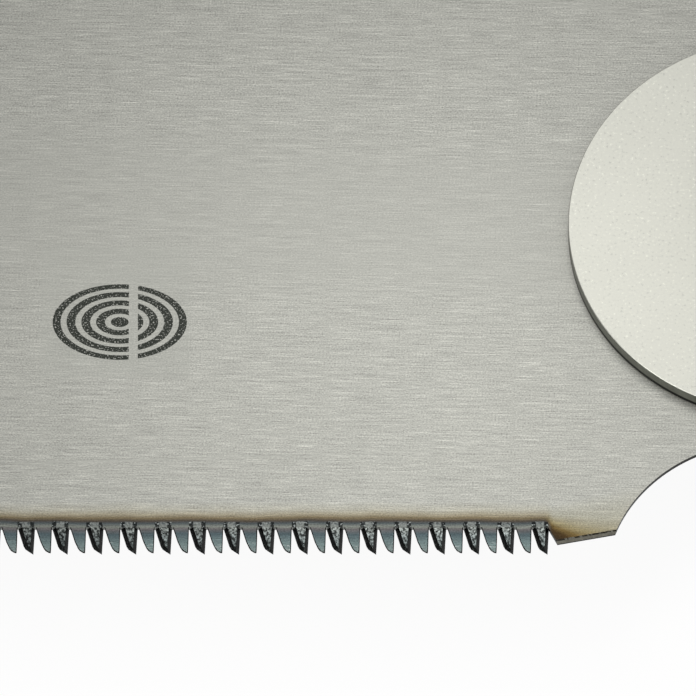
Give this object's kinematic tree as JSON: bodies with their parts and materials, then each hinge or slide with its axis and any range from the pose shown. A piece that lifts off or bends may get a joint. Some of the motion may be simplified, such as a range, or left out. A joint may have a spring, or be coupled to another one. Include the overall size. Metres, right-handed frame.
{
  "type": "ryoba saw",
  "caption": "Double-edged pull saw: flared thin steel blade with crosscut and rip teeth, clamped between round steel jaws by a coin-slot screw, on a straight oval wood handle with cane binding",
  "frame": {"origin": "centre of the bounding box, in the middle plane of the blade", "axes": "+X along the saw from toe to butt, +Y across the blade from the crosscut edge to the rip edge, +Z square to the blade on the side of the clamp screw's head"},
  "size_m": [0.6108, 0.0879, 0.022],
  "materials": {
    "blade_steel": "ground along its length to a warm grey satin, heat-tinted at the teeth",
    "jaw_steel": "bright fine satin, sheared edges darker",
    "packing_steel": "plain rolled steel",
    "plated_steel": "zinc plated, semi-bright",
    "spring_steel": "dark hardened spring steel",
    "ferrule_steel": "black oxide, satin",
    "brass": "plain brass, lightly brushed",
    "handle_wood": "straight-grained pale wood, oiled",
    "cane": "split cane, skin side out, semi-gloss"
  },
  "bodies": {
    "handle": {"handle_core": "handle_wood", "ferrule": "ferrule_steel", "ferrule_pin": "plated_steel", "tang_pin_front": "brass", "tang_pin_rear": "brass", "cane_binding": "cane", "hang_eyelet": "brass", "front_jaw": "jaw_steel", "rear_jaw": "jaw_steel", "jaw_packing": "packing_steel", "guide_pin": "plated_steel", "clamp_nut": "plated_steel"},
    "blade": {"saw_blade": "blade_steel"},
    "washers": {"clamp_washer": "plated_steel", "lock_washer": "spring_steel"},
    "screw": {"clamp_screw": "plated_steel"}
  },
  "joints": [
    {"name": "blade_slide", "type": "slide", "parent": "handle", "child": "blade", "axis": [-1, 0, 0], "range_m": [0, 0.06]},
    {"name": "clamp_travel", "type": "slide", "parent": "handle", "child": "washers", "axis": [0, 0, 1], "range_m": [0, 0.001]},
    {"name": "clamp_screw_turn", "type": "hinge", "parent": "washers", "child": "screw", "pos_m": [-0.04262, 0, 0], "axis": [0, 0, 1], "range_deg": [0, 450]}
  ],
  "couplings": [
    {"joint": "clamp_screw_turn", "follows": "clamp_travel", "rad_per_m": 7853.9}
  ]
}
